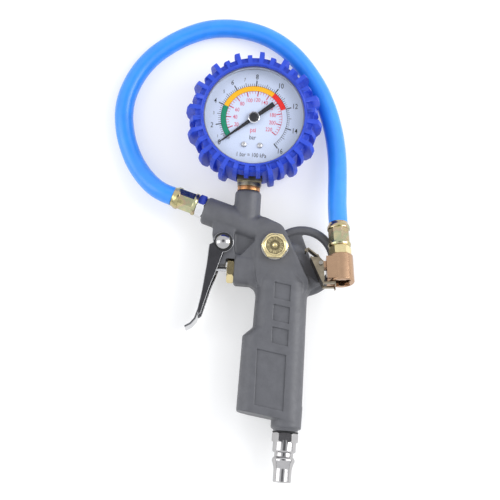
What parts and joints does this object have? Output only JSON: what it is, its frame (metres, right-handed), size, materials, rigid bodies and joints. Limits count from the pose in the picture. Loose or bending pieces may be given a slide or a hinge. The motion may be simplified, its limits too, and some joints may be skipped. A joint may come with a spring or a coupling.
{
  "type": "tyre inflator with gauge",
  "caption": "Hand-held pistol tyre inflator with a rubber-booted dial gauge, squeeze trigger, short free hose with a clip-on valve chuck, and a plug for the air line.",
  "frame": {"origin": "on the gauge's axis, in the flat back of the rubber boot, which is the plane the whole part rests on", "axes": "+Z out of the dial's face, +Y from the grip along the gauge stem to the gauge, +X towards the back of the grip; the trigger is on the -X side"},
  "size_m": [0.1416, 0.2613, 0.036],
  "materials": {
    "black_plastic": "matt black",
    "black_rubber": "matt black nitrile",
    "blue_rubber": "matt blue moulded rubber",
    "brass": "machined yellow brass",
    "case_steel": "dark satin enamel",
    "cast_paint": "satin grey paint over a fine sand-cast texture",
    "chrome": "mirror-bright plating",
    "chuck_bronze": "satin bronze plating",
    "clip_steel": "plated spring steel",
    "copper": "plain copper alloy",
    "dial_white": "satin pale blue-white print",
    "hose_blue": "semi-gloss bright blue",
    "lens": "clear polished",
    "olive_brass": "olive-grey plated brass",
    "plug_steel": "bright plated turned steel",
    "pointer_black": "satin black",
    "steel": "machined steel",
    "trigger_chrome": "dark bright plating on pressed sheet",
    "yellow_zinc": "iridescent yellow zinc plating"
  },
  "bodies": {
    "inflator": {"gun_body": "cast_paint", "inlet_plug": "plug_steel", "inlet_seal": "black_rubber", "side_cap_nut": "brass", "side_cap_washer": "steel", "valve_gland_nut": "brass", "gland_seal": "black_rubber", "valve_seat": "brass", "valve_spring": "steel", "trigger_pin": "chrome", "pin_washer": "black_plastic", "pin_end_ring": "steel", "gauge_socket": "olive_brass", "stem_washer": "copper", "gauge_boot": "blue_rubber", "gauge_case": "case_steel", "gauge_bezel": "case_steel", "gauge_lens": "lens", "dial_spacer": "steel", "dial_plate": "dial_white", "dial_screws": "steel", "pointer_stop_pin": "steel", "bourdon_tube": "copper", "movement_lower_plate": "brass", "movement_upper_plate": "brass", "movement_pillars": "brass", "hose_nut": "chrome", "port_ferrule": "yellow_zinc", "hose": "hose_blue", "chuck_ferrule": "yellow_zinc", "chuck_adapter": "brass", "chuck_body": "chuck_bronze", "chuck_seal": "black_rubber", "chuck_depressor": "brass", "clip_pin": "steel", "clip_spring": "steel"},
    "trigger": {"trigger_lever": "trigger_chrome"},
    "valve": {"push_rod": "steel", "valve_poppet": "brass", "poppet_seal": "black_rubber"},
    "sector": {"sector_gear": "brass", "sector_arbor": "steel"},
    "pointer": {"pinion_arbor": "brass", "gauge_pointer": "pointer_black", "pointer_hub": "pointer_black"},
    "link": {"tip_link": "brass"},
    "clip": {"clip_lever": "clip_steel"}
  },
  "joints": [
    {"name": "trigger_hinge", "type": "hinge", "parent": "inflator", "child": "trigger", "pos_m": [-0.0115, -0.0699, 0.013], "axis": [0, 0, 1], "range_deg": [0, 12], "stiffness_Nm_per_rad": 0.3, "springref_deg": -17.19},
    {"name": "valve_slide", "type": "slide", "parent": "inflator", "child": "valve", "axis": [1, 0, 0], "range_m": [0, 0.003], "deforming": ["valve_spring"]},
    {"name": "sector_hinge", "type": "hinge", "parent": "inflator", "child": "sector", "pos_m": [0.0108, 0, 0.0194], "axis": [0, 0, 1], "range_deg": [0, 33.25], "stiffness_Nm_per_rad": 0.002},
    {"name": "pointer_hinge", "type": "hinge", "parent": "inflator", "child": "pointer", "pos_m": [0, 0, 0.0194], "axis": [0, 0, 1], "range_deg": [-266, 0]},
    {"name": "link_hinge", "type": "hinge", "parent": "sector", "child": "link", "pos_m": [0.0168, 0, 0.0194], "axis": [0, 0, 1], "range_deg": [-33.25, 0]},
    {"name": "clip_hinge", "type": "hinge", "parent": "inflator", "child": "clip", "pos_m": [0.04273, -0.0797, 0.02402], "axis": [0.0255, -0.2235, -0.9744], "range_deg": [0, 20], "stiffness_Nm_per_rad": 0.15, "springref_deg": -11.46}
  ],
  "couplings": [
    {"joint": "valve_slide", "follows": "trigger_hinge", "m_per_rad": 0.01432},
    {"joint": "pointer_hinge", "follows": "sector_hinge", "ratio": -8},
    {"joint": "link_hinge", "follows": "sector_hinge", "ratio": -1}
  ]
}
